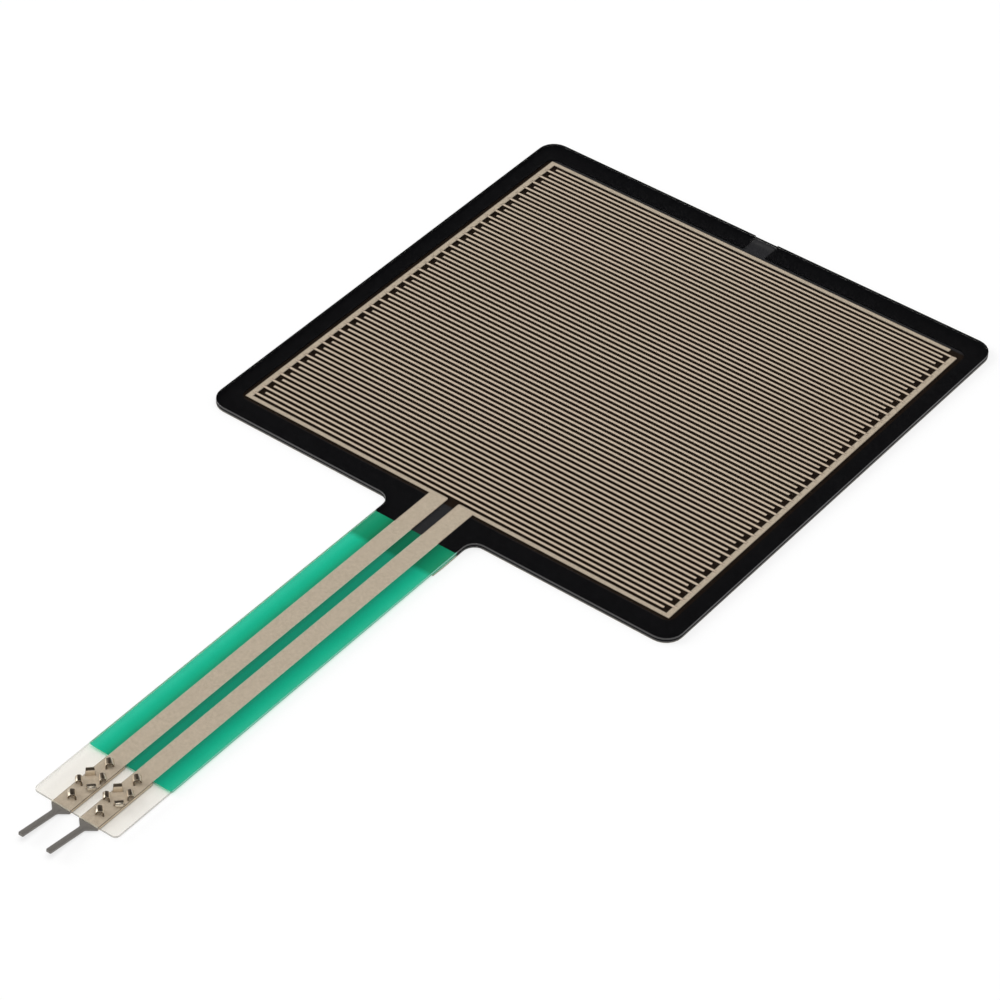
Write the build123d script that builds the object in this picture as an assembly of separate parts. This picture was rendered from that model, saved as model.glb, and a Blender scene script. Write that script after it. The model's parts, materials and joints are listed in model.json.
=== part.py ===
from build123d import *
import os

# Square force sensing resistor: two clear films held apart by a black adhesive frame, a silver comb
# pattern printed under the upper film, force sensing ink on the lower one, and a flat tail whose two
# silver tracks end in crimped solder pins. Millimetres, +Z up. The origin is the middle of the pad's
# back face, and the tail runs towards -Y.

# Outline of the pad and the tail
PAD_SIDE = 43.7
PAD_CORNER_RADIUS = 1.5
TAIL_WIDTH = 7.62
TAIL_LENGTH = 39.42
TAIL_END_RADIUS = 0.4
NECK_RADIUS = 1.1

# How far the inner layers follow the tail past the pad's edge
SPACER_REACH = 1.85
LOWER_FILM_REACH = 4.65

# Thickness of each layer, from the back up
MOUNTING_ADHESIVE_THICKNESS = 0.05
LOWER_FILM_THICKNESS = 0.125
SENSING_INK_THICKNESS = 0.02
SPACER_THICKNESS = 0.10
TOP_FILM_THICKNESS = 0.188

# Inks printed on the underside of the top film
SILVER_THICKNESS = 0.02
GREEN_INK_THICKNESS = 0.03

# Silver comb pattern, set in from the pad's edges
COMB_SIDE_MARGIN = 1.775
COMB_NEAR_MARGIN = 2.3
COMB_FAR_MARGIN = 2.0
FINGER_PITCH = 0.5025
FINGER_WIDTH = 0.25
EDGE_LINE_WIDTH = 0.4
BUS_WIDTH = 0.51
BUS_TO_FINGER_GAP = 0.48

# Tracks along the tail
TRACK_PITCH = 2.54
TRACK_WIDTH = 1.6
TRACK_SHOULDER_RADIUS = 0.2
TRACK_END_SETBACK = 0.15
CLEAR_END_LENGTH = 5.82

# Adhesive frame
WINDOW_MARGIN = 0.35
WINDOW_CORNER_RADIUS = 0.8
VENT_WIDTH = 2.15

# Crimped contacts: a flat plate under the tail, tines curled over the film, and a pin bent slightly up
CONTACT_THICKNESS = 0.2
PLATE_WIDTH = 1.7
PLATE_TO_INK_GAP = 0.15
BEND_INSET = 0.05
PIN_TILT = 8
PIN_BEND_RADIUS = 0.3
SHOULDER_LENGTH = 0.6
SHOULDER_RADIUS = 0.35
PIN_WIDTH = 0.45
PIN_LENGTH = 4.05
PIN_TIP_CHAMFER = 0.06
CRIMP_CENTRE_INSET = 3.1

# Tines: each rises through the film, turns over in a half circle and comes down on the film
TINE_THICKNESS = 0.14
TINE_RISE = 0.06
TINE_TIP_GAP = 0.01
PETAL_OPENING = 1.16
PETAL_WIDTH = 0.72
PETAL_TIP_WIDTH = 0.52
PETAL_BEND_RADIUS = 0.11
LANCE_WIDTH = 0.62
LANCE_BEND_RADIUS = 0.18
LANCE_SPREAD = 1.95
LANCE_HOLE_LENGTH = 0.35

# Heights of the layer faces
Z_LOWER_FILM = MOUNTING_ADHESIVE_THICKNESS
Z_SENSING_INK = Z_LOWER_FILM + LOWER_FILM_THICKNESS
Z_SPACER = Z_SENSING_INK + SENSING_INK_THICKNESS
Z_TOP_FILM = Z_SPACER + SPACER_THICKNESS
Z_TOP = Z_TOP_FILM + TOP_FILM_THICKNESS
Z_SILVER = Z_TOP_FILM - SILVER_THICKNESS
Z_GREEN_INK = Z_TOP_FILM - GREEN_INK_THICKNESS
Z_CONTACT = Z_SILVER - CONTACT_THICKNESS

# Places along the tail
PAD_EDGE = -PAD_SIDE / 2
TAIL_END = PAD_EDGE - TAIL_LENGTH
SPACER_END = PAD_EDGE - SPACER_REACH
GREEN_INK_END = TAIL_END + CLEAR_END_LENGTH
CRIMP_CENTRE = TAIL_END + CRIMP_CENTRE_INSET
BEND_LINE = TAIL_END + BEND_INSET

# Comb worked out from its pitch: as many pairs of fingers as fit between the two wider edge lines
FINGER_GAP = FINGER_PITCH - FINGER_WIDTH
EDGE_STEP = EDGE_LINE_WIDTH + FINGER_GAP
COMB_ROOM = PAD_SIDE - COMB_NEAR_MARGIN - COMB_FAR_MARGIN - 2 * EDGE_STEP + FINGER_GAP
FINGER_COUNT = 2 * int(COMB_ROOM / (2 * FINGER_PITCH))
COMB_HEIGHT = FINGER_COUNT * FINGER_PITCH - FINGER_GAP + 2 * EDGE_STEP
COMB_WIDTH = PAD_SIDE - 2 * COMB_SIDE_MARGIN
COMB_NEAR = PAD_EDGE + COMB_NEAR_MARGIN
COMB_FAR = COMB_NEAR + COMB_HEIGHT
FIRST_FINGER = COMB_NEAR + EDGE_STEP + FINGER_WIDTH / 2


def box_between(x_low, x_high, y_low, y_high):
    """Flat rectangle from its four sides."""
    middle = Pos((x_low + x_high) / 2, (y_low + y_high) / 2)
    return middle * Rectangle(x_high - x_low, y_high - y_low)


def layer(outline, bottom, thickness):
    """Sheet of the given outline, lying at the given height."""
    return Pos(0, 0, bottom) * extrude(outline, thickness)


def pad_outline():
    """Square pad with rounded corners."""
    return RectangleRounded(PAD_SIDE, PAD_SIDE, PAD_CORNER_RADIUS)


def corners_at(outline, x, y):
    """Corners of an outline at the given distance from the Y axis and the given place along it."""
    near = 1e-6
    return [v for v in outline.vertices() if abs(abs(v.X) - x) < near and abs(v.Y - y) < near]


def tailed_outline(reach):
    """Pad with a tongue of the tail's width that reaches past its near edge, with a rounded neck."""
    half_tail = TAIL_WIDTH / 2
    outline = pad_outline() + box_between(-half_tail, half_tail, PAD_EDGE - reach, 0)
    return fillet(corners_at(outline, half_tail, PAD_EDGE), min(NECK_RADIUS, 0.9 * reach))


def top_film_outline():
    """Pad and whole tail, with the corners of the tail's end slightly rounded."""
    outline = tailed_outline(TAIL_LENGTH)
    return fillet(corners_at(outline, TAIL_WIDTH / 2, TAIL_END), TAIL_END_RADIUS)


def finger_row(index):
    """Middle of a regular finger, counted from the tail's side."""
    return FIRST_FINGER + index * FINGER_PITCH


def finger(index, x_low, x_high):
    """One regular finger of the comb."""
    middle = finger_row(index)
    return box_between(x_low, x_high, middle - FINGER_WIDTH / 2, middle + FINGER_WIDTH / 2)


def track(side):
    """Straight track from the comb's near line down the tail, its free upper corner rounded."""
    inner = (TRACK_PITCH - TRACK_WIDTH) / 2
    top = COMB_NEAR + EDGE_LINE_WIDTH
    strip = box_between(inner, inner + TRACK_WIDTH, TAIL_END + TRACK_END_SETBACK, top)
    strip = fillet(corners_at(strip, inner, top), TRACK_SHOULDER_RADIUS)
    return strip if side > 0 else mirror(strip, Plane.YZ)


def left_comb():
    """Left electrode: bus, near line, every first finger of a pair, far line and track."""
    bus_left = -COMB_WIDTH / 2
    free_end = COMB_WIDTH / 2 - BUS_WIDTH - BUS_TO_FINGER_GAP
    pieces = [
        box_between(bus_left, bus_left + BUS_WIDTH, COMB_NEAR, COMB_FAR),
        box_between(bus_left, -TRACK_PITCH / 2, COMB_NEAR, COMB_NEAR + EDGE_LINE_WIDTH),
        box_between(bus_left, free_end, COMB_FAR - EDGE_LINE_WIDTH, COMB_FAR),
        track(-1),
    ]
    pieces += [finger(index, bus_left, free_end) for index in range(0, FINGER_COUNT, 2)]
    return Sketch() + pieces


def right_comb():
    """Right electrode: bus up to the last finger, near line, every second finger and track."""
    bus_right = COMB_WIDTH / 2
    free_end = -COMB_WIDTH / 2 + BUS_WIDTH + BUS_TO_FINGER_GAP
    bus_top = finger_row(FINGER_COUNT - 1) + FINGER_WIDTH / 2
    pieces = [
        box_between(bus_right - BUS_WIDTH, bus_right, COMB_NEAR, bus_top),
        box_between(TRACK_PITCH / 2, bus_right, COMB_NEAR, COMB_NEAR + EDGE_LINE_WIDTH),
        track(1),
    ]
    pieces += [finger(index, free_end, bus_right) for index in range(1, FINGER_COUNT, 2)]
    return Sketch() + pieces


def spacer_halves(silver):
    """Left and right halves of the adhesive frame, parted by the two vents and bedded on the tracks."""
    window = Pos(0, COMB_NEAR + COMB_HEIGHT / 2) * RectangleRounded(
        COMB_WIDTH + 2 * WINDOW_MARGIN, COMB_HEIGHT + 2 * WINDOW_MARGIN, WINDOW_CORNER_RADIUS
    )
    vents = Rectangle(VENT_WIDTH, 2 * (PAD_SIDE + SPACER_REACH))
    frame = tailed_outline(SPACER_REACH) - window - vents
    halves = layer(frame, Z_SPACER, SPACER_THICKNESS) - silver
    return halves.solids().sort_by(Axis.X)


def green_ink(silver):
    """Insulating ink across the tail, over the back of the tracks and between them."""
    half_tail = TAIL_WIDTH / 2
    cover = box_between(-half_tail, half_tail, GREEN_INK_END, SPACER_END)
    return layer(cover, Z_GREEN_INK, GREEN_INK_THICKNESS) - silver


def tine_reach(bend_radius):
    """How far a curled tine lies over the film, from the back of its stem to its tip."""
    return 2 * (TINE_THICKNESS + bend_radius)


def tine(root_width, tip_width, bend_radius):
    """Tine that stands on the plate at x = 0 and curls towards +X over the film."""
    middle_radius = bend_radius + TINE_THICKNESS / 2
    bend_height = Z_TOP + TINE_RISE
    reach = tine_reach(bend_radius)
    stem_middle = TINE_THICKNESS / 2
    tip_middle = reach - TINE_THICKNESS / 2
    root = (stem_middle, 0, Z_CONTACT + CONTACT_THICKNESS / 2)
    shoulder = (stem_middle, 0, bend_height)
    crest = (stem_middle + middle_radius, 0, bend_height + middle_radius)
    turn = (tip_middle, 0, bend_height)
    tip = (tip_middle, 0, Z_TOP + TINE_TIP_GAP)
    spine = Line(root, shoulder) + ThreePointArc(shoulder, crest, turn) + Line(turn, tip)
    section = Plane(origin=root, z_dir=(0, 0, 1)) * Rectangle(TINE_THICKNESS, root_width)
    strip = sweep(section, path=spine)
    half_root = root_width / 2
    half_tip = tip_width / 2
    taper = Polygon(
        (0, -half_root), (reach, -half_tip), (reach, half_tip), (0, half_root), align=None
    )
    return strip & extrude(taper, bend_height + reach)


def tines_in_place():
    """Four petals round the cross opening and two lances, each set at 45 degrees to the tail."""
    petal = Pos(PETAL_OPENING / 2, 0) * tine(PETAL_WIDTH, PETAL_TIP_WIDTH, PETAL_BEND_RADIUS)
    lance = Pos(-tine_reach(LANCE_BEND_RADIUS) / 2, 0) * tine(LANCE_WIDTH, LANCE_WIDTH, LANCE_BEND_RADIUS)
    tines = [Rot(0, 0, turn) * petal for turn in (45, 135, 225, 315)]
    tines += [Pos(0, LANCE_SPREAD) * Rot(0, 0, 45) * lance]
    tines += [Pos(0, -LANCE_SPREAD) * Rot(0, 0, 225) * lance]
    return tines


def tine_openings():
    """Cross opening and the two slots that the tines were cut from, in the plate."""
    slot_end = -tine_reach(LANCE_BEND_RADIUS) / 2
    slot = box_between(slot_end - LANCE_HOLE_LENGTH, slot_end, -LANCE_WIDTH / 2, LANCE_WIDTH / 2)
    return [
        Rot(0, 0, 45) * Rectangle(PETAL_OPENING, PETAL_WIDTH),
        Rot(0, 0, 135) * Rectangle(PETAL_OPENING, PETAL_WIDTH),
        Pos(0, LANCE_SPREAD) * Rot(0, 0, 45) * slot,
        Pos(0, -LANCE_SPREAD) * Rot(0, 0, 225) * slot,
    ]


def contact_plate():
    """Flat plate on the Y axis, from the bend at the film's end to its far end, with its openings."""
    far_end = GREEN_INK_END - PLATE_TO_INK_GAP
    plate = box_between(-PLATE_WIDTH / 2, PLATE_WIDTH / 2, BEND_LINE, far_end)
    holes = [Pos(0, CRIMP_CENTRE) * hole for hole in tine_openings()]
    return layer(plate - holes, Z_CONTACT, CONTACT_THICKNESS)


def pin_outline():
    """Shoulder and pin as they are stamped, before they are bent up at the bend line."""
    half_plate = PLATE_WIDTH / 2
    half_pin = PIN_WIDTH / 2
    shoulder_end = BEND_LINE - SHOULDER_LENGTH
    pin_tip = BEND_LINE - PIN_LENGTH
    outline = Polygon(
        (-half_plate, BEND_LINE), (-half_pin, shoulder_end), (-half_pin, pin_tip),
        (half_pin, pin_tip), (half_pin, shoulder_end), (half_plate, BEND_LINE), align=None,
    )
    outline = fillet(corners_at(outline, half_pin, shoulder_end), SHOULDER_RADIUS)
    return chamfer(corners_at(outline, half_pin, pin_tip), PIN_TIP_CHAMFER)


def bent_pin():
    """Short bend along the edge of the plate, and the shoulder and pin turned up with it."""
    bend_axis = Axis((0, BEND_LINE, Z_CONTACT + CONTACT_THICKNESS + PIN_BEND_RADIUS), (-1, 0, 0))
    edge = Plane((0, BEND_LINE, Z_CONTACT + CONTACT_THICKNESS / 2), x_dir=(1, 0, 0), z_dir=(0, 1, 0))
    bend = revolve(edge * Rectangle(PLATE_WIDTH, CONTACT_THICKNESS), bend_axis, PIN_TILT)
    pin = layer(pin_outline(), Z_CONTACT, CONTACT_THICKNESS)
    return [bend, pin.rotate(bend_axis, PIN_TILT)]


def contact():
    """One stamped contact on the Y axis: plate, bent pin, four petals and two lances."""
    return contact_plate() + bent_pin() + [Pos(0, CRIMP_CENTRE) * piece for piece in tines_in_place()]


left_silver = layer(left_comb(), Z_SILVER, SILVER_THICKNESS)
right_silver = layer(right_comb(), Z_SILVER, SILVER_THICKNESS)
silver_inks = left_silver + right_silver
spacer_left, spacer_right = spacer_halves(silver_inks)
contact_left = Pos(-TRACK_PITCH / 2, 0) * contact()
contact_right = Pos(TRACK_PITCH / 2, 0) * contact()
contacts = [contact_left, contact_right]

parts = {
    "mounting_adhesive": layer(pad_outline(), 0, MOUNTING_ADHESIVE_THICKNESS),
    "lower_film": layer(tailed_outline(LOWER_FILM_REACH), Z_LOWER_FILM, LOWER_FILM_THICKNESS),
    "sensing_ink": layer(tailed_outline(SPACER_REACH), Z_SENSING_INK, SENSING_INK_THICKNESS),
    "spacer_left": spacer_left,
    "spacer_right": spacer_right,
    "electrode_left": left_silver - contacts,
    "electrode_right": right_silver - contacts,
    "green_ink": green_ink(silver_inks),
    "top_film": layer(top_film_outline(), Z_TOP_FILM, TOP_FILM_THICKNESS) - contacts,
    "contact_left": contact_left,
    "contact_right": contact_right,
}

os.makedirs("parts", exist_ok=True)
for name, shape in parts.items():
    export_step(shape, f"parts/{name}.step")
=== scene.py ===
"""Square force sensing resistor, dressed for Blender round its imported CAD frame.

The sensor is a flat laminate: a clear polyester film with a silver comb and a green insulating ink printed on
its back, a black adhesive frame, a carbon ink on a second film, and a rear adhesive. Its tail ends in two
stamped contacts whose tines are crimped through the film. Shapes are built in millimetres and put into the
frame's metres as each piece is finished.
"""

from __future__ import annotations

import json
import logging
import math
from collections.abc import Callable, Sequence
from dataclasses import dataclass, replace
from enum import Enum, IntEnum
from typing import Any

import bmesh
import bpy
from mathutils import Matrix, Vector

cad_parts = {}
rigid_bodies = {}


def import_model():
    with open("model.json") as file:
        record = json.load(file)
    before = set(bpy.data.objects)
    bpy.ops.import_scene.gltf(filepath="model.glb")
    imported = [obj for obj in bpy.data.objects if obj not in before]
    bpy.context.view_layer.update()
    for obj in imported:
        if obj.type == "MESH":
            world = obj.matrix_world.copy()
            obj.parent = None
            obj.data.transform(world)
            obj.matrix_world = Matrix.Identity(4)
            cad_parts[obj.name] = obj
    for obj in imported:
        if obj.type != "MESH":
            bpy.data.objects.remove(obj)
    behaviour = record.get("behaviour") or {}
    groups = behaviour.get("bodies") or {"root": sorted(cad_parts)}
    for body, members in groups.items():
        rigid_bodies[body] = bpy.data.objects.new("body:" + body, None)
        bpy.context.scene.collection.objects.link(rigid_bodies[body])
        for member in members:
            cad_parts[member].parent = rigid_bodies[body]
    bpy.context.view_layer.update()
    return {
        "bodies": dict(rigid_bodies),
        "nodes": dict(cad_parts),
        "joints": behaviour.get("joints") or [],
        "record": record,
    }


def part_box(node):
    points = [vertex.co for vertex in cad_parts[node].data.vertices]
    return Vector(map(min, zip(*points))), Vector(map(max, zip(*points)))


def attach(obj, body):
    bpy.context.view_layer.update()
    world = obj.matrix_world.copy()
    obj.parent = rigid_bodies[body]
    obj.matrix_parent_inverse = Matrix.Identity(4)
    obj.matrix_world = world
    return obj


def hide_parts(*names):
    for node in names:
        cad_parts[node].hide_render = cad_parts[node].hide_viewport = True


log = logging.getLogger("force_sensing_resistor")

MILLIMETRE = 0.001
WHITE = (1.0, 1.0, 1.0, 1.0)

# Sockets of a Mix node that mixes colours, by number, because its other sockets have the same names
COLOUR_A = 6
COLOUR_B = 7
MIXED_COLOUR = 2

# Sizes that more than one sub-assembly follows, millimetres
TRACK_PITCH = 2.54
TRACK_WIDTH = 1.6
PLATE_WIDTH = 1.7
FINGER_PITCH = 0.5025
FINGER_WIDTH = 0.25

# Clear parts and what touches them lie this far apart, so that no ray meets two faces at one place
LAYER_CLEARANCE = 0.002

# Points nearer to each other than this are one point, millimetres
MERGE_DISTANCE = 1e-5

# Upright share of a face's normal from which the face counts as lying flat
FLAT_ENOUGH = 0.9


class Direction(Enum):
    """Which side of the sensor an electrode or a contact belongs to, as a sign along X."""

    LEFT = -1
    RIGHT = 1


class FilmFace(IntEnum):
    """Number of each finish on a clear film."""

    SHEET = 0
    EDGE_OVER_BLACK = 1
    EDGE_OVER_GREEN = 2
    CLEAR_EDGE = 3
    EDGE_OVER_METAL = 4


class ContactFace(IntEnum):
    """Number of each finish on a contact."""

    PLATED = 0
    SHEARED = 1
    PIN = 2
    PLATE_SIDE = 3


def linear(hex_colour: str) -> tuple[float, float, float, float]:
    """Turns an sRGB hex colour into linear RGBA.

    Args:
        hex_colour: Six hex digits after a hash sign.

    Returns:
        Red, green, blue and an alpha of 1.
    """
    channels = [int(hex_colour[i : i + 2], 16) / 255 for i in (1, 3, 5)]
    straight = [c / 12.92 if c <= 0.04045 else ((c + 0.055) / 1.055) ** 2.4 for c in channels]
    return (*straight, 1.0)


def scale_of(spacing: float) -> float:
    """Scale of a pattern whose marks lie the given millimetres apart."""
    return 1 / (spacing * MILLIMETRE)


def add_node(
    tree: bpy.types.NodeTree, kind: str, inputs: dict[str | int, Any] | None = None, **settings: Any
) -> bpy.types.Node:
    """Adds a node with its settings, values and links.

    Args:
        tree: Node tree that gets the node.
        kind: Blender's name for the node's type.
        inputs: Value or output socket for each input, by name or number.
        **settings: Attributes of the node itself.

    Returns:
        The new node.
    """
    node = tree.nodes.new(kind)
    for name, value in settings.items():
        setattr(node, name, value)
    for key, value in (inputs or {}).items():
        if isinstance(value, bpy.types.NodeSocket):
            tree.links.new(value, node.inputs[key])
        else:
            node.inputs[key].default_value = value
    return node


@dataclass(frozen=True)
class Finish:
    """A named surface finish that makes one Blender material."""

    name: str = "finish"

    def material(self) -> bpy.types.Material:
        """Makes the finish's material, unless it is already made.

        Returns:
            The material.
        """
        made = bpy.data.materials.get(self.name)
        if made is not None:
            return made
        made = bpy.data.materials.new(self.name)
        made.use_nodes = True
        made.node_tree.nodes.clear()
        output = add_node(made.node_tree, "ShaderNodeOutputMaterial")
        surface = self.surface(made.node_tree)
        made.node_tree.links.new(surface, output.inputs["Surface"])
        return made

    def surface(self, tree: bpy.types.NodeTree) -> bpy.types.NodeSocket:
        """Builds the shader and returns its output socket."""
        raise NotImplementedError

    def mottled(
        self, tree: bpy.types.NodeTree, spacing: float, detail: float, tones: tuple[str, str]
    ) -> tuple[bpy.types.NodeSocket, bpy.types.NodeSocket]:
        """Lays a random pattern over the piece and colours it.

        Args:
            tree: Node tree of the material.
            spacing: Distance from mark to mark in millimetres.
            detail: How many finer patterns lie on the first one.
            tones: Colours where the pattern is low and where it is high.

        Returns:
            The pattern and the colour.
        """
        place = add_node(tree, "ShaderNodeTexCoord").outputs["Object"]
        marks = add_node(
            tree, "ShaderNodeTexNoise", {"Vector": place, "Scale": scale_of(spacing), "Detail": detail}
        )
        pattern = marks.outputs["Fac"]
        low, high = (linear(tone) for tone in tones)
        colour = add_node(
            tree, "ShaderNodeMix", {"Factor": pattern, COLOUR_A: low, COLOUR_B: high}, data_type="RGBA"
        )
        return pattern, colour.outputs[MIXED_COLOUR]


@dataclass(frozen=True)
class ClearFilm(Finish):
    """Clear polyester film, stretched and calendered: it passes nearly all light and mirrors the rest."""

    name: str = "clear_polyester_film"
    colour: str = "#f4f1ec"
    # Share of the light that one face sends back; as metal it comes back as a mirror's, not as paint's
    mirrored_share: float = 0.045
    roughness: float = 0.04
    scuff_roughness: float = 0.1
    # Slow waves left by the calender and patches of fine scuffs, millimetres from crest to crest
    wave_length: float = 9.0
    wave_height: float = 0.004
    scuff_size: float = 2.5
    # Strength of the scuff pattern at which the film begins to dull, and at which it is dullest
    scuff_start: float = 0.45
    scuff_full: float = 0.75

    def surface(self, tree: bpy.types.NodeTree) -> bpy.types.NodeSocket:
        """Builds see-through film with a weak mirror gloss.

        Args:
            tree: Node tree of the material.

        Returns:
            The shader's socket.
        """
        place = add_node(tree, "ShaderNodeTexCoord").outputs["Object"]
        waves = add_node(
            tree, "ShaderNodeTexNoise", {"Vector": place, "Scale": scale_of(self.wave_length), "Detail": 1.0}
        )
        bump = add_node(
            tree,
            "ShaderNodeBump",
            {"Height": waves.outputs["Fac"], "Distance": self.wave_height * MILLIMETRE},
        )
        scuffs = add_node(
            tree, "ShaderNodeTexNoise", {"Vector": place, "Scale": scale_of(self.scuff_size), "Detail": 6.0}
        )
        rough = add_node(
            tree,
            "ShaderNodeMapRange",
            {
                "Value": scuffs.outputs["Fac"],
                "From Min": self.scuff_start,
                "From Max": self.scuff_full,
                "To Min": self.roughness,
                "To Max": self.scuff_roughness,
            },
        )
        sheet = add_node(
            tree,
            "ShaderNodeBsdfPrincipled",
            {
                "Base Color": linear(self.colour),
                "Metallic": 1.0,
                "Roughness": rough.outputs["Result"],
                "Alpha": self.mirrored_share,
                "Normal": bump.outputs["Normal"],
            },
        )
        return sheet.outputs["BSDF"]


@dataclass(frozen=True)
class CutFilmEdge(Finish):
    """Die cut edge of polyester film, slightly frosted: a fine line that takes up what lies by it, and from
    within shows a painted reflection of it.
    """

    name: str = "die_cut_film_edge"
    colour: str = "#77746f"
    burr_colour: str = "#94918b"
    # Seen from within the film, the edge shows a painted reflection of the layer beside it
    inner_painted_reflection: str = "#e6e4de"
    cover: float = 0.55
    roughness: float = 0.4
    # Drag marks of the die, drawn coarser than the real 0.02 mm so that they show
    mark_spacing: float = 0.15

    def surface(self, tree: bpy.types.NodeTree) -> bpy.types.NodeSocket:
        """Builds the frosted edge with the die's drag marks and, from within, its painted reflection.

        Args:
            tree: Node tree of the material.

        Returns:
            The shader's socket.
        """
        _, outside = self.mottled(tree, self.mark_spacing, 2.0, (self.colour, self.burr_colour))
        within = add_node(tree, "ShaderNodeNewGeometry").outputs["Backfacing"]
        colour = add_node(
            tree,
            "ShaderNodeMix",
            {"Factor": within, COLOUR_A: outside, COLOUR_B: linear(self.inner_painted_reflection)},
            data_type="RGBA",
        )
        edge = add_node(
            tree,
            "ShaderNodeBsdfPrincipled",
            {
                "Base Color": colour.outputs[MIXED_COLOUR],
                "Roughness": self.roughness,
                "Alpha": self.cover,
            },
        )
        return edge.outputs["BSDF"]


@dataclass(frozen=True)
class SilverInk(Finish):
    """Screen printed polymer silver: a warm grey of fine flakes, cured dull, with a faint mesh grain."""

    name: str = "screen_printed_silver_ink"
    colour: str = "#d9cab5"
    dark_colour: str = "#b5a690"
    roughness: float = 0.55
    metallic: float = 0.1
    # Clots of flakes, drawn coarser than the real 0.05 mm so that they show
    grain: float = 0.22
    grain_height: float = 0.002

    def surface(self, tree: bpy.types.NodeTree) -> bpy.types.NodeSocket:
        """Builds grained silver ink.

        Args:
            tree: Node tree of the material.

        Returns:
            The shader's socket.
        """
        grain, grained = self.mottled(tree, self.grain, 3.0, (self.dark_colour, self.colour))
        bump = add_node(
            tree, "ShaderNodeBump", {"Height": grain, "Distance": self.grain_height * MILLIMETRE}
        )
        ink = add_node(
            tree,
            "ShaderNodeBsdfPrincipled",
            {
                "Base Color": self.tone(tree, grained),
                "Metallic": self.metallic,
                "Roughness": self.roughness,
                "Normal": bump.outputs["Normal"],
            },
        )
        return ink.outputs["BSDF"]

    def tone(self, tree: bpy.types.NodeTree, grained: bpy.types.NodeSocket) -> bpy.types.NodeSocket:
        """Colours the ink.

        Args:
            tree: Node tree of the material.
            grained: Colour of ink that lies at its full thickness.

        Returns:
            The colour's socket.
        """
        return grained


@dataclass(frozen=True)
class CombInk(SilverInk):
    """The same silver in fine lines, thick in the middle and thin, almost brown, at the edges."""

    name: str = "silver_ink_in_fine_lines"
    colour: str = "#e2d0ba"
    dark_colour: str = "#d3c1ab"
    thin_colour: str = "#72624e"
    # Middle of one line along Y, and the pitch and half width of all, millimetres
    line_middle: float = 0.0
    pitch: float = FINGER_PITCH
    half_width: float = FINGER_WIDTH / 2
    # Half of the stretch in the middle that has the full thickness
    thick_half: float = 0.06

    def tone(self, tree: bpy.types.NodeTree, grained: bpy.types.NodeSocket) -> bpy.types.NodeSocket:
        """Colours the ink by its grain and by how thick it lies.

        Args:
            tree: Node tree of the material.
            grained: Colour of ink that lies at its full thickness.

        Returns:
            The colour's socket.
        """
        place = add_node(tree, "ShaderNodeTexCoord").outputs["Object"]
        along = add_node(tree, "ShaderNodeSeparateXYZ", {"Vector": place}).outputs["Y"]
        from_line = add_node(
            tree, "ShaderNodeMath", {0: along, 1: self.line_middle * MILLIMETRE}, operation="SUBTRACT"
        )
        off_middle = add_node(
            tree,
            "ShaderNodeMath",
            {0: from_line.outputs["Value"], 1: self.pitch / 2 * MILLIMETRE},
            operation="PINGPONG",
        )
        thinness = add_node(
            tree,
            "ShaderNodeMapRange",
            {
                "Value": off_middle.outputs["Value"],
                "From Min": self.thick_half * MILLIMETRE,
                "From Max": self.half_width * MILLIMETRE,
            },
        )
        colour = add_node(
            tree,
            "ShaderNodeMix",
            {"Factor": thinness.outputs["Result"], COLOUR_A: grained, COLOUR_B: linear(self.thin_colour)},
            data_type="RGBA",
        )
        return colour.outputs[MIXED_COLOUR]


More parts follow.
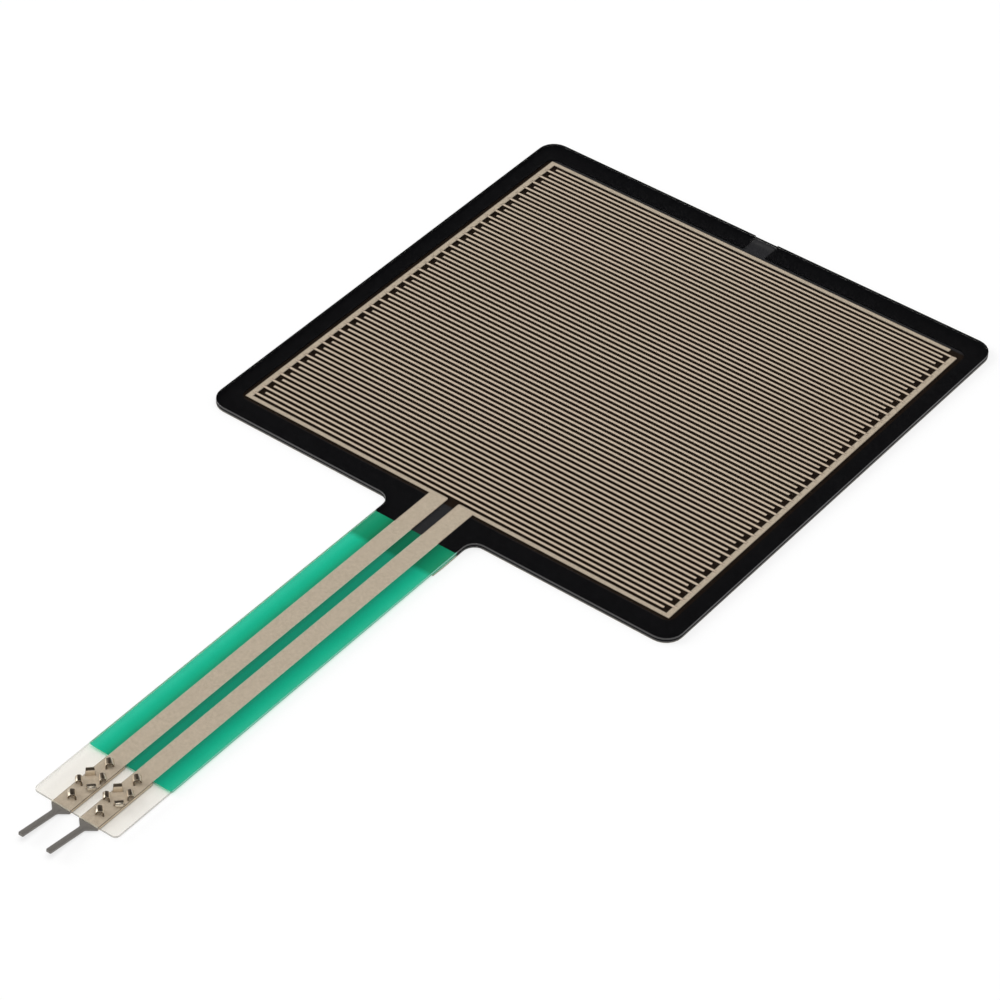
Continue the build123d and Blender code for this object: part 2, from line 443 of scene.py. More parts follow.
@dataclass(frozen=True)
class TrunkInk(SilverInk):
    """The same silver in wide bands, its thin rims brown over the carbon and green over the green ink."""

    name: str = "silver_ink_in_wide_bands"
    thin_over_carbon: str = "#75695a"
    thin_over_green: str = "#b6c9b1"
    rim: float = 0.08
    # Places along Y between which the bands lie over the green ink, millimetres
    green_start: float = 0.0
    green_end: float = 0.0
    # Low and high X, taken without its sign, and low and high Y of each straight band, millimetres
    bands: tuple[tuple[float, float, float, float], ...] = ()

    def tone(self, tree: bpy.types.NodeTree, grained: bpy.types.NodeSocket) -> bpy.types.NodeSocket:
        """Colours the ink by its grain and by how near the rim of its band lies.

        Args:
            tree: Node tree of the material.
            grained: Colour of ink that lies at its full thickness.

        Returns:
            The colour's socket.
        """
        place = add_node(tree, "ShaderNodeTexCoord").outputs["Object"]
        spot = add_node(tree, "ShaderNodeSeparateXYZ", {"Vector": place}).outputs
        outwards = add_node(tree, "ShaderNodeMath", {0: spot["X"]}, operation="ABSOLUTE").outputs["Value"]
        past_rims: bpy.types.NodeSocket | float = 1.0
        for x_low, x_high, y_low, y_high in self.bands:
            past_band: bpy.types.NodeSocket | float = -1.0
            for value, low, high in ((outwards, x_low, x_high), (spot["Y"], y_low, y_high)):
                off = add_node(
                    tree, "ShaderNodeMath", {0: value, 1: (low + high) / 2 * MILLIMETRE}, operation="SUBTRACT"
                )
                far = add_node(tree, "ShaderNodeMath", {0: off.outputs["Value"]}, operation="ABSOLUTE")
                past = add_node(
                    tree,
                    "ShaderNodeMath",
                    {0: far.outputs["Value"], 1: (high - low) / 2 * MILLIMETRE},
                    operation="SUBTRACT",
                )
                farther = add_node(
                    tree, "ShaderNodeMath", {0: past.outputs["Value"], 1: past_band}, operation="MAXIMUM"
                )
                past_band = farther.outputs["Value"]
            nearer = add_node(tree, "ShaderNodeMath", {0: past_band, 1: past_rims}, operation="MINIMUM")
            past_rims = nearer.outputs["Value"]
        thinness = add_node(
            tree,
            "ShaderNodeMapRange",
            {"Value": past_rims, "From Min": -self.rim * MILLIMETRE, "From Max": 0.0},
        )
        on_green = add_node(
            tree, "ShaderNodeMath", {0: spot["Y"], 1: self.green_start * MILLIMETRE}, operation="LESS_THAN"
        )
        off_plate = add_node(
            tree, "ShaderNodeMath", {0: spot["Y"], 1: self.green_end * MILLIMETRE}, operation="GREATER_THAN"
        )
        share = add_node(
            tree,
            "ShaderNodeMath",
            {0: thinness.outputs["Result"], 1: off_plate.outputs["Value"]},
            operation="MULTIPLY",
        )
        thin = add_node(
            tree,
            "ShaderNodeMix",
            {
                "Factor": on_green.outputs["Value"],
                COLOUR_A: linear(self.thin_over_carbon),
                COLOUR_B: linear(self.thin_over_green),
            },
            data_type="RGBA",
        )
        colour = add_node(
            tree,
            "ShaderNodeMix",
            {"Factor": share.outputs["Value"], COLOUR_A: grained, COLOUR_B: thin.outputs[MIXED_COLOUR]},
            data_type="RGBA",
        )
        return colour.outputs[MIXED_COLOUR]


@dataclass(frozen=True)
class BlackAdhesive(Finish):
    """Black acrylic adhesive coated on a carrier: deep, even and slightly blue under the film."""

    name: str = "black_acrylic_spacer_adhesive"
    colour: str = "#050507"
    mottle_colour: str = "#0b0b0e"
    roughness: float = 0.6
    specular: float = 0.05
    # Mottling of the coat, millimetres from blotch to blotch
    mottle: float = 0.6

    def surface(self, tree: bpy.types.NodeTree) -> bpy.types.NodeSocket:
        """Builds the mottled coat.

        Args:
            tree: Node tree of the material.

        Returns:
            The shader's socket.
        """
        _, colour = self.mottled(tree, self.mottle, 4.0, (self.colour, self.mottle_colour))
        coat = add_node(
            tree,
            "ShaderNodeBsdfPrincipled",
            {"Base Color": colour, "Roughness": self.roughness, "Specular IOR Level": self.specular},
        )
        return coat.outputs["BSDF"]


@dataclass(frozen=True)
class CarbonInk(Finish):
    """Carbon filled sensing ink, matt, dark grey in the two vents; under the comb it is brown black with
    painted shade of the fingers and painted warm light of the silver.
    """

    name: str = "carbon_sensing_ink"
    # Painted shade and painted warm silver light where the ink lies under the comb
    comb_painted_shade: str = "#1a1008"
    comb_painted_shade_mottle: str = "#22170d"
    vent_colour: str = "#2a2a2c"
    roughness: float = 0.8
    specular: float = 0.1
    mottle: float = 0.4
    # Distance from the pad's middle along Y at which the comb ends and the vents begin
    comb_end: float = 19.7
    blend: float = 0.15

    def surface(self, tree: bpy.types.NodeTree) -> bpy.types.NodeSocket:
        """Builds the ink with painted shade under the comb and its own tone in the vents.

        Args:
            tree: Node tree of the material.

        Returns:
            The shader's socket.
        """
        _, painted_shade_under_comb = self.mottled(tree, self.mottle, 4.0, (self.comb_painted_shade, self.comb_painted_shade_mottle))
        place = add_node(tree, "ShaderNodeTexCoord").outputs["Object"]
        along = add_node(tree, "ShaderNodeSeparateXYZ", {"Vector": place}).outputs["Y"]
        outwards = add_node(tree, "ShaderNodeMath", {0: along}, operation="ABSOLUTE")
        in_vent = add_node(
            tree,
            "ShaderNodeMapRange",
            {
                "Value": outwards.outputs["Value"],
                "From Min": self.comb_end * MILLIMETRE,
                "From Max": (self.comb_end + self.blend) * MILLIMETRE,
            },
        )
        colour = add_node(
            tree,
            "ShaderNodeMix",
            {"Factor": in_vent.outputs["Result"], COLOUR_A: painted_shade_under_comb, COLOUR_B: linear(self.vent_colour)},
            data_type="RGBA",
        )
        coat = add_node(
            tree,
            "ShaderNodeBsdfPrincipled",
            {
                "Base Color": colour.outputs[MIXED_COLOUR],
                "Roughness": self.roughness,
                "Specular IOR Level": self.specular,
            },
        )
        return coat.outputs["BSDF"]


@dataclass(frozen=True)
class GreenInk(Finish):
    """Green insulating ink that lets light through; its colour holds a painted glow at the tail's edges and
    painted shade by and between the tracks.
    """

    name: str = "green_insulating_ink"
    # Painted light and shade at each distance from the tail's middle line, millimetres along X: brightest at
    # the left edge, darker on the right, darkest by and between the tracks
    tones: tuple[tuple[float, str], ...] = (
        (-3.7, "#40d8b3"),
        (-3.3, "#2dcca6"),
        (-2.9, "#1ec29a"),
        (-2.5, "#1cb68d"),
        (-2.2, "#25a17b"),
        (-0.35, "#1c8266"),
        (-0.05, "#159374"),
        (0.35, "#1d8f71"),
        (2.15, "#1a9272"),
        (2.5, "#15a584"),
        (2.9, "#17b48e"),
        (3.3, "#25be98"),
        (3.6, "#39c19b"),
    )
    # Painted shade over the tongue of the lower film, whose end lies here along Y, where less light comes
    # back
    tongue_painted_shade: str = "#cbc8b8"
    tongue_end: float = 0.0
    tongue_blend: float = 0.5
    roughness: float = 0.5
    specular: float = 0.02
    cloud: float = 1.6
    cloud_tint: str = "#eef2f0"
    # Light that the ink lets through to the table, which so has no dark shadow beside the tail
    passed_light: str = "#a5ecd8"

    def surface(self, tree: bpy.types.NodeTree) -> bpy.types.NodeSocket:
        """Builds the ink with its painted light and shade across and along the tail.

        Args:
            tree: Node tree of the material.

        Returns:
            The shader's socket.
        """
        place = add_node(tree, "ShaderNodeTexCoord").outputs["Object"]
        spot = add_node(tree, "ShaderNodeSeparateXYZ", {"Vector": place}).outputs
        left, right = self.tones[0][0], self.tones[-1][0]
        across = add_node(
            tree,
            "ShaderNodeMapRange",
            {"Value": spot["X"], "From Min": left * MILLIMETRE, "From Max": right * MILLIMETRE},
        )
        # The ramp paints the light that comes back through the ink and the shade of the tracks
        ramp = add_node(tree, "ShaderNodeValToRGB", {"Fac": across.outputs["Result"]})
        stops = ramp.color_ramp.elements
        for index, (x, tone) in enumerate(self.tones):
            share = (x - left) / (right - left)
            stop = stops[index] if index < len(stops) else stops.new(share)
            stop.position = share
            stop.color = linear(tone)
        on_tongue = add_node(
            tree,
            "ShaderNodeMapRange",
            {
                "Value": spot["Y"],
                "From Min": (self.tongue_end - self.tongue_blend) * MILLIMETRE,
                "From Max": self.tongue_end * MILLIMETRE,
            },
        )
        painted_shade_over_tongue = add_node(
            tree,
            "ShaderNodeMix",
            {
                "Factor": on_tongue.outputs["Result"],
                COLOUR_A: ramp.outputs["Color"],
                COLOUR_B: linear(self.tongue_painted_shade),
            },
            data_type="RGBA",
            blend_type="MULTIPLY",
        )
        cloud = add_node(
            tree, "ShaderNodeTexNoise", {"Vector": place, "Scale": scale_of(self.cloud), "Detail": 2.0}
        )
        colour = add_node(
            tree,
            "ShaderNodeMix",
            {
                "Factor": cloud.outputs["Fac"],
                COLOUR_A: painted_shade_over_tongue.outputs[MIXED_COLOUR],
                COLOUR_B: linear(self.cloud_tint),
            },
            data_type="RGBA",
            blend_type="MULTIPLY",
        )
        ink = add_node(
            tree,
            "ShaderNodeBsdfPrincipled",
            {
                "Base Color": colour.outputs[MIXED_COLOUR],
                "Roughness": self.roughness,
                "Specular IOR Level": self.specular,
            },
        )
        passed = add_node(tree, "ShaderNodeBsdfTransparent", {"Color": linear(self.passed_light)})
        lit = add_node(
            tree,
            "ShaderNodeMixShader",
            {
                0: add_node(tree, "ShaderNodeLightPath").outputs["Is Shadow Ray"],
                1: ink.outputs["BSDF"],
                2: passed.outputs["BSDF"],
            },
        )
        return lit.outputs["Shader"]


@dataclass(frozen=True)
class RearAdhesive(Finish):
    """Pressure sensitive acrylic adhesive: a milky yellowish veil over the lower film."""

    name: str = "acrylic_rear_adhesive"
    colour: str = "#cfc8b4"
    cover: float = 0.35
    roughness: float = 0.5
    bubble: float = 0.5
    bubble_height: float = 0.01

    def surface(self, tree: bpy.types.NodeTree) -> bpy.types.NodeSocket:
        """Builds the milky adhesive with a slight orange peel.

        Args:
            tree: Node tree of the material.

        Returns:
            The shader's socket.
        """
        place = add_node(tree, "ShaderNodeTexCoord").outputs["Object"]
        peel = add_node(
            tree, "ShaderNodeTexNoise", {"Vector": place, "Scale": scale_of(self.bubble), "Detail": 2.0}
        )
        bump = add_node(
            tree,
            "ShaderNodeBump",
            {"Height": peel.outputs["Fac"], "Distance": self.bubble_height * MILLIMETRE},
        )
        milk = add_node(
            tree,
            "ShaderNodeBsdfPrincipled",
            {
                "Base Color": linear(self.colour),
                "Roughness": self.roughness,
                "Alpha": self.cover,
                "Normal": bump.outputs["Normal"],
            },
        )
        return milk.outputs["BSDF"]


@dataclass(frozen=True)
class StripMetal(Finish):
    """Rolled metal strip: fine lines along its length, drawn on colour and surface."""

    name: str = "strip_metal"
    colour: str = "#808080"
    dull_colour: str = "#606060"
    metallic: float = 0.85
    roughness: float = 0.25
    # Lines along the strip, drawn coarser than the real 0.01 mm so that they show
    line_spacing: float = 0.06
    line_height: float = 0.0015
    # How much longer than wide the lines are
    line_stretch: float = 20.0

    def surface(self, tree: bpy.types.NodeTree) -> bpy.types.NodeSocket:
        """Builds lined metal.

        Args:
            tree: Node tree of the material.

        Returns:
            The shader's socket.
        """
        place = add_node(tree, "ShaderNodeTexCoord").outputs["Object"]
        across = scale_of(self.line_spacing)
        stretched = add_node(
            tree,
            "ShaderNodeMapping",
            {"Vector": place, "Scale": (across, across / self.line_stretch, across)},
        )
        lines = add_node(tree, "ShaderNodeTexNoise", {"Vector": stretched.outputs["Vector"], "Scale": 1.0})
        colour = add_node(
            tree,
            "ShaderNodeMix",
            {
                "Factor": lines.outputs["Fac"],
                COLOUR_A: linear(self.dull_colour),
                COLOUR_B: linear(self.colour),
            },
            data_type="RGBA",
        )
        bump = add_node(
            tree,
            "ShaderNodeBump",
            {"Height": lines.outputs["Fac"], "Distance": self.line_height * MILLIMETRE},
        )
        metal = add_node(
            tree,
            "ShaderNodeBsdfPrincipled",
            {
                "Base Color": colour.outputs[MIXED_COLOUR],
                "Metallic": self.metallic,
                "Roughness": self.roughness,
                "Normal": bump.outputs["Normal"],
            },
        )
        return metal.outputs["BSDF"]


@dataclass(frozen=True)
class Corner:
    """A corner of a flat outline in millimetres, with the radius that rounds it."""

    x: float
    y: float
    radius: float = 0.0


def rounded_loop(corners: Sequence[Corner], steps: int = 6) -> list[Vector]:
    """Rounds the corners of a closed outline.

    Args:
        corners: The outline's corners in order.
        steps: Straight stretches in each rounded corner.

    Returns:
        The outline's points in order.
    """
    points: list[Vector] = []
    count = len(corners)
    for index, corner in enumerate(corners):
        here = Vector((corner.x, corner.y))
        before, after = corners[index - 1], corners[(index + 1) % count]
        if corner.radius <= 0:
            points.append(here)
            continue
        to_before = (Vector((before.x, before.y)) - here).normalized()
        to_after = (Vector((after.x, after.y)) - here).normalized()
        half = to_before.angle(to_after) / 2
        setback = corner.radius / math.tan(half)
        middle = here + (to_before + to_after).normalized() * (corner.radius / math.sin(half))
        first = here + to_before * setback - middle
        last = here + to_after * setback - middle
        turn = first.angle_signed(last)
        for step in range(steps + 1):
            spoke = first.copy()
            spoke.rotate(Matrix.Rotation(-turn * step / steps, 2))
            points.append(middle + spoke)
    return points


def rectangle(width: float, height: float, middle: Vector, turn: float, radius: float = 0.0) -> list[Vector]:
    """Outline of a turned rectangle.

    Args:
        width: Side along the turned X axis.
        height: Side along the turned Y axis.
        middle: Centre of the rectangle.
        turn: Angle from the X axis in degrees.
        radius: Rounding of its corners.

    Returns:
        The outline's points in order.
    """
    sides = [(-1, -1), (1, -1), (1, 1), (-1, 1)]
    loop = rounded_loop([Corner(a * width / 2, b * height / 2, radius) for a, b in sides], steps=3)
    spin = Matrix.Rotation(math.radians(turn), 2)
    return [middle + spin @ point for point in loop]


def heading(turn: float) -> Vector:
    """Unit vector that points at an angle in degrees from the X axis."""
    return Vector((math.cos(math.radians(turn)), math.sin(math.radians(turn))))


def mesh_from(thing: bpy.types.Object) -> bpy.types.Mesh:
    """Turns an object with its modifiers into a plain mesh and removes the object.

    Args:
        thing: Object that isn't in the scene yet.

    Returns:
        Its mesh as the modifiers leave it.
    """
    bpy.context.scene.collection.objects.link(thing)
    graph = bpy.context.evaluated_depsgraph_get()
    mesh = bpy.data.meshes.new_from_object(thing.evaluated_get(graph))
    bpy.data.objects.remove(thing)
    return mesh


def tidy_mesh(mesh: bpy.types.Mesh) -> bpy.types.Mesh:
    """Merges doubled points and turns every face outwards.

    Args:
        mesh: The mesh in millimetres.

    Returns:
        The same mesh.
    """
    shape = bmesh.new()
    shape.from_mesh(mesh)
    bmesh.ops.remove_doubles(shape, verts=shape.verts, dist=MERGE_DISTANCE)
    bmesh.ops.recalc_face_normals(shape, faces=shape.faces)
    shape.to_mesh(mesh)
    shape.free()
    return mesh


def sheet_mesh(
    loops: Sequence[Sequence[Vector]], low: float, high: float, edge: float = 0.0
) -> bpy.types.Mesh:
    """Cuts a flat sheet with holes, its rims rounded.

    Args:
        loops: The outline first, then one loop for each hole, in millimetres.
        low: Height of the underside.
        high: Height of the upper side.
        edge: Radius of the rims.

    Returns:
        A closed mesh in millimetres.
    """
    curve = bpy.data.curves.new("sheet_outline", "CURVE")
    curve.dimensions = "2D"
    curve.fill_mode = "BOTH"
    curve.extrude = (high - low) / 2 - edge
    curve.bevel_depth = edge
    curve.bevel_resolution = 1
    curve.offset = -edge
    for loop in loops:
        spline = curve.splines.new("POLY")
        spline.points.add(len(loop) - 1)
        for point, place in zip(spline.points, loop):
            point.co = (place.x, place.y, 0.0, 1.0)
        spline.use_cyclic_u = True
    mesh = mesh_from(bpy.data.objects.new("sheet_outline", curve))
    mesh.transform(Matrix.Translation((0, 0, (low + high) / 2)))
    return tidy_mesh(mesh)


def split_at(mesh: bpy.types.Mesh, axis: int, places: Sequence[float]) -> None:
    """Cuts a mesh's faces where upright planes cross them, and keeps both sides.

    Args:
        mesh: The mesh in millimetres.
        axis: 0 for planes across X, 1 for planes across Y.
        places: Where along the axis the planes stand.
    """
    shape = bmesh.new()
    shape.from_mesh(mesh)
    across = Vector([float(index == axis) for index in range(3)])
    for place in places:
        everything = [*shape.verts, *shape.edges, *shape.faces]
        bmesh.ops.bisect_plane(
            shape, geom=everything, dist=MERGE_DISTANCE, plane_co=across * place, plane_no=across
        )
    shape.to_mesh(mesh)
    shape.free()


def smoothstep(share: float) -> float:
    """Eases a share from 0 to 1."""
    return share * share * (3 - 2 * share)


def number_sides(mesh: bpy.types.Mesh, finish_at: Callable[[Vector], int]) -> None:
    """Gives the faces that don't lie flat the number of their finish.

    Args:
        mesh: The mesh in millimetres.
        finish_at: Number of the finish for the place of a face.
    """
    for face in mesh.polygons:
        if abs(face.normal.z) < FLAT_ENOUGH:
            face.material_index = finish_at(face.center)


def place_piece(
    name: str, mesh: bpy.types.Mesh, finishes: Sequence[Finish], node: str, smooth: float = 0.0
) -> bpy.types.Object:
    """Puts a finished mesh into the frame in place of a CAD node.

    Args:
        name: The piece's name.
        mesh: Its mesh in millimetres.
        finishes: Its finishes in the order of its faces' numbers, or none where the mesh brings its own.
        node: CAD node that it stands for.
        smooth: Angle in degrees under which faces shade as one, or 0 for flat faces.

    Returns:
        The piece's object.
    """
    mesh.transform(Matrix.Scale(MILLIMETRE, 4))
    mesh.name = name
    for finish in finishes:
        mesh.materials.append(finish.material())
    if smooth > 0:
        mesh.shade_smooth()
        mesh.set_sharp_from_angle(angle=math.radians(smooth))
    piece = bpy.data.objects.new(name, mesh)
    bpy.context.scene.collection.objects.link(piece)
    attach(piece, "root")
    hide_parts(node)
    log.info("%s: %d faces in place of %s", name, len(mesh.polygons), node)
    return piece


def dress_node(frame: dict[str, Any], node: str, finish: Finish) -> None:
    """Gives a CAD node that keeps its own shape a better finish.

    Args:
        frame: The loaded frame.
        node: The node's name.
        finish: The finish that it gets.
    """
    slots = frame["nodes"][node].data.materials
    slots.clear()
    slots.append(finish.material())
    log.info("%s: CAD shape in %s", node, finish.name)


def node_box(node: str) -> tuple[Vector, Vector]:
    """Lowest and highest corner of a CAD node in millimetres."""
    low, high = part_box(node)
    return low / MILLIMETRE, high / MILLIMETRE


@dataclass
class Laminate:
    """The films, adhesives and inks that lie flat on each other."""

    pad_corner: float = 1.5
    neck_radius: float = 1.1
    tail_width: float = 7.62
    tail_end_corner: float = 0.4
    film_edge: float = 0.015
    track_pitch: float = TRACK_PITCH
    track_width: float = TRACK_WIDTH
    plate_width: float = PLATE_WIDTH
    # The right edge of the lower film's tongue stands out between these distances from its end
    tongue_bulge: float = 0.05
    bulge_reach: tuple[float, float] = (0.9, 2.3)
    bulge_round: float = 0.5
    # How far in from the film's edges a cut belongs to a tine's slot
    slot_inset: float = 0.3
    # The die presses the top film down over the mouth of the far vent
    vent_width: float = 2.15
    sag: float = 0.095
    sag_length: float = 1.2
    sag_shoulder: float = 0.03
    # Cuts across each slope of the pressed place, so that it bends softly
    sag_cuts: int = 3
    film_finish: ClearFilm = ClearFilm()
    edge_over_black: CutFilmEdge = CutFilmEdge(
        "film_edge_over_black", "#353434", "#424040", inner_painted_reflection="#0b0b0c", cover=1.0
    )
    # Its mint is painted light that comes through the green ink at the tail's edges
    edge_over_green: CutFilmEdge = CutFilmEdge(
        "film_edge_over_green_painted_glow", "#74c4ae", "#94d6c4", inner_painted_reflection="#35b791", cover=0.8
    )
    # Adhesive that the die dragged along the tongue's edge
    tongue_edge: CutFilmEdge = CutFilmEdge(
        "tongue_edge_with_dragged_adhesive", "#a08a6c", "#b7a184", inner_painted_reflection="#6f9a7c", cover=0.85
    )
    clear_edge: CutFilmEdge = CutFilmEdge("film_edge_clear")
    # The edge over the contacts is a painted highlight: bright cream where the silver and the plates shine
    # through it
    edge_over_metal: CutFilmEdge = CutFilmEdge("film_edge_over_metal_painted_highlight", "#efe6cf", "#f6eedb", cover=0.8)
    green_finish: GreenInk = GreenInk()
    adhesive_finish: RearAdhesive = RearAdhesive()
    sensing_finish: CarbonInk = CarbonInk()
    spacer_finish: BlackAdhesive = BlackAdhesive()

    def tailed_outline(self, node: str, end_corner: float = 0.0, bulge: float = 0.0) -> list[Vector]:
        """Outline of a layer that follows the pad and some of the tail.

        Args:
            node: CAD node whose box gives the pad's size and the tail's reach.
            end_corner: Rounding of the tail's end.
            bulge: How far the right side of the tail's end stands out.

        Returns:
            The outline's points in order.
        """
        low, high = node_box(node)
        half = self.tail_width / 2
        pad_edge = -high.y
        stands_out = [Corner(half + bulge, low.y + along, self.bulge_round) for along in self.bulge_reach]
        return rounded_loop(
            [
                Corner(low.x, high.y, self.pad_corner),
                Corner(low.x, pad_edge, self.pad_corner),
                Corner(-half, pad_edge, self.neck_radius),
                Corner(-half, low.y, end_corner),
                Corner(half, low.y, end_corner),
                *(stands_out if bulge > 0 else []),
                Corner(half, pad_edge, self.neck_radius),
                Corner(high.x, pad_edge, self.pad_corner),
                Corner(high.x, high.y, self.pad_corner),
            ]
        )

    def edge_finish(self, spot: Vector) -> int:
        """Chooses the finish of a cut edge by the layer that lies under it there.

        Args:
            spot: Middle of a face of the edge.

        Returns:
            The finish's number on a film.
        """
        green_low, green_high = node_box("green_ink")
        film_end = node_box("top_film")[0].y
        if spot.y > green_high.y:
            return FilmFace.EDGE_OVER_BLACK
        if spot.y > green_low.y:
            return FilmFace.EDGE_OVER_GREEN
        if abs(spot.x) < self.tail_width / 2 - self.slot_inset and spot.y > film_end + self.slot_inset:
            return FilmFace.SHEET
        if abs(abs(spot.x) - self.track_pitch / 2) < self.plate_width / 2:
            return FilmFace.EDGE_OVER_METAL
        return FilmFace.CLEAR_EDGE

    def press_over_vent(self, mesh: bpy.types.Mesh) -> None:
        """Lowers the top film's rim over the mouth of the far vent.

        Args:
            mesh: The top film in millimetres.
        """
        rim = node_box("top_film")[1].y
        half = self.vent_width / 2
        cuts = self.sag_cuts
        inwards = [half - self.sag_shoulder * step / cuts for step in range(cuts + 1)]
        split_at(mesh, 0, [side * place for side in (-1, 1) for place in inwards])
        split_at(mesh, 1, [rim - self.sag_length * step / cuts for step in range(1, cuts + 1)])
        for vertex in mesh.vertices:
            along = min(max((vertex.co.y - rim + self.sag_length) / self.sag_length, 0.0), 1.0)
            across = min(max((half - abs(vertex.co.x)) / self.sag_shoulder, 0.0), 1.0)
            vertex.co.z -= self.sag * smoothstep(along) * smoothstep(across)

    def film(
        self,
        name: str,
        node: str,
        loops: Sequence[Sequence[Vector]],
        top_gap: float,
        tail_edge: CutFilmEdge,
        pressed: bool = False,
    ) -> None:
        """Cuts a clear film and finishes its edges by what lies under them.

        Args:
            name: The piece's name.
            node: CAD node that it stands for.
            loops: Its outline, then its holes.
            top_gap: Room left between its upper side and the layer above.
            tail_edge: Finish of its edges along the green ink.
            pressed: Whether its rim is pressed down over the far vent.
        """
        low, high = node_box(node)
        mesh = sheet_mesh(loops, low.z + LAYER_CLEARANCE, high.z - top_gap, self.film_edge)
        green_low, green_high = node_box("green_ink")
        split_at(mesh, 1, [green_low.y, green_high.y])
        half = self.plate_width / 2
        split_at(mesh, 0, [side * self.track_pitch / 2 + edge for side in (-1, 1) for edge in (-half, half)])
        number_sides(mesh, self.edge_finish)
        if pressed:
            self.press_over_vent(mesh)
        finishes = [self.film_finish, self.edge_over_black, tail_edge, self.clear_edge, self.edge_over_metal]
        place_piece(name, mesh, finishes, node)

    def rear_adhesive(self) -> None:
        """Lays the rear adhesive under the pad."""
        low, high = node_box("mounting_adhesive")
        corners = [(low.x, low.y), (high.x, low.y), (high.x, high.y), (low.x, high.y)]
        outline = rounded_loop([Corner(x, y, self.pad_corner) for x, y in corners])
        mesh = sheet_mesh([outline], low.z, high.z - LAYER_CLEARANCE)
        place_piece(
            "rear_adhesive_layer", mesh, [self.adhesive_finish], "mounting_adhesive"
        )

    def green_ink(self) -> None:
        """Prints the green ink as one section across the tail, bedded round the two tracks."""
        low, high = node_box("green_ink")
        silver_low, silver_high = node_box("electrode_left")
        bed = silver_low.z - LAYER_CLEARANCE
        top = silver_high.z - LAYER_CLEARANCE
        section = [(low.x, low.z), (high.x, low.z), (high.x, top)]
        for direction in (1, -1):
            middle = direction * self.track_pitch / 2
            right = middle + self.track_width / 2 + LAYER_CLEARANCE
            left = middle - self.track_width / 2 - LAYER_CLEARANCE
            section += [(right, top), (right, bed), (left, bed), (left, top)]
        section.append((low.x, top))
        shape = bmesh.new()
        near = [shape.verts.new((x, low.y, z)) for x, z in section]
        far = [shape.verts.new((x, high.y, z)) for x, z in section]
        shape.faces.new(near)
        shape.faces.new(far[::-1])
        for index in range(len(section)):
            after = (index + 1) % len(section)
            shape.faces.new((near[index], far[index], far[after], near[after]))
        bmesh.ops.recalc_face_normals(shape, faces=shape.faces)
        bmesh.ops.triangulate(shape, faces=[f for f in shape.faces if len(f.verts) > 4])
        mesh = bpy.data.meshes.new("green_section")
        shape.to_mesh(mesh)
        shape.free()
        finish = replace(self.green_finish, tongue_end=node_box("lower_film")[0].y)
        place_piece("green_ink_print", mesh, [finish], "green_ink")

    def build(self, frame: dict[str, Any], slots: Sequence[Sequence[Vector]]) -> None:
        """Builds every flat layer but the silver.

        Args:
            frame: The loaded frame.
            slots: Loops of the slots that the tines need in the top film.
        """
        self.rear_adhesive()
        lower = self.tailed_outline("lower_film", bulge=self.tongue_bulge)
        self.film("lower_film_sheet", "lower_film", [lower], LAYER_CLEARANCE, self.tongue_edge)
        dress_node(frame, "sensing_ink", self.sensing_finish)
        dress_node(frame, "spacer_left", self.spacer_finish)
        dress_node(frame, "spacer_right", self.spacer_finish)
        self.green_ink()
        upper = self.tailed_outline("top_film", self.tail_end_corner)
        self.film("top_film_sheet", "top_film", [upper, *slots], 0.0, self.edge_over_green, pressed=True)


